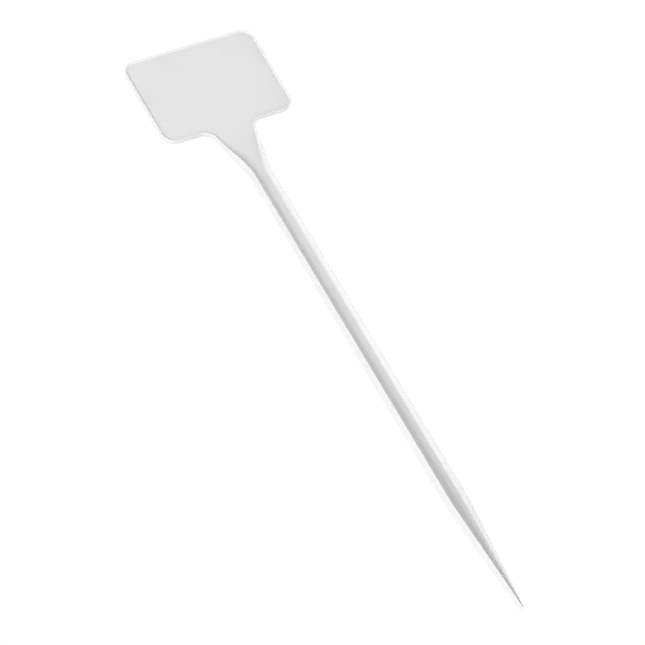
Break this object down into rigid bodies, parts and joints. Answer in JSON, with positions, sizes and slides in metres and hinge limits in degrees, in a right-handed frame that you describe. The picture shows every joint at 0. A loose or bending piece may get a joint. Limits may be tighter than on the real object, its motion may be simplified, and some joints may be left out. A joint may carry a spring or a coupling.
{
  "type": "plant label stake",
  "caption": "White plastic plant label: dished writing plate with a thin upstanding rim, tapered neck, long channelled stem and pointed soil spike.",
  "frame": {"origin": "middle of the flat back, half way along the overall length", "axes": "+X across the plate, +Y from the tip of the spike towards the top of the plate, +Z out of the writing face"},
  "size_m": [0.06, 0.3, 0.0052],
  "materials": {
    "white_plastic": "satin"
  },
  "bodies": {
    "root": {"label_plate": "white_plastic", "neck": "white_plastic", "stem": "white_plastic", "spike": "white_plastic"}
  },
  "joints": []
}
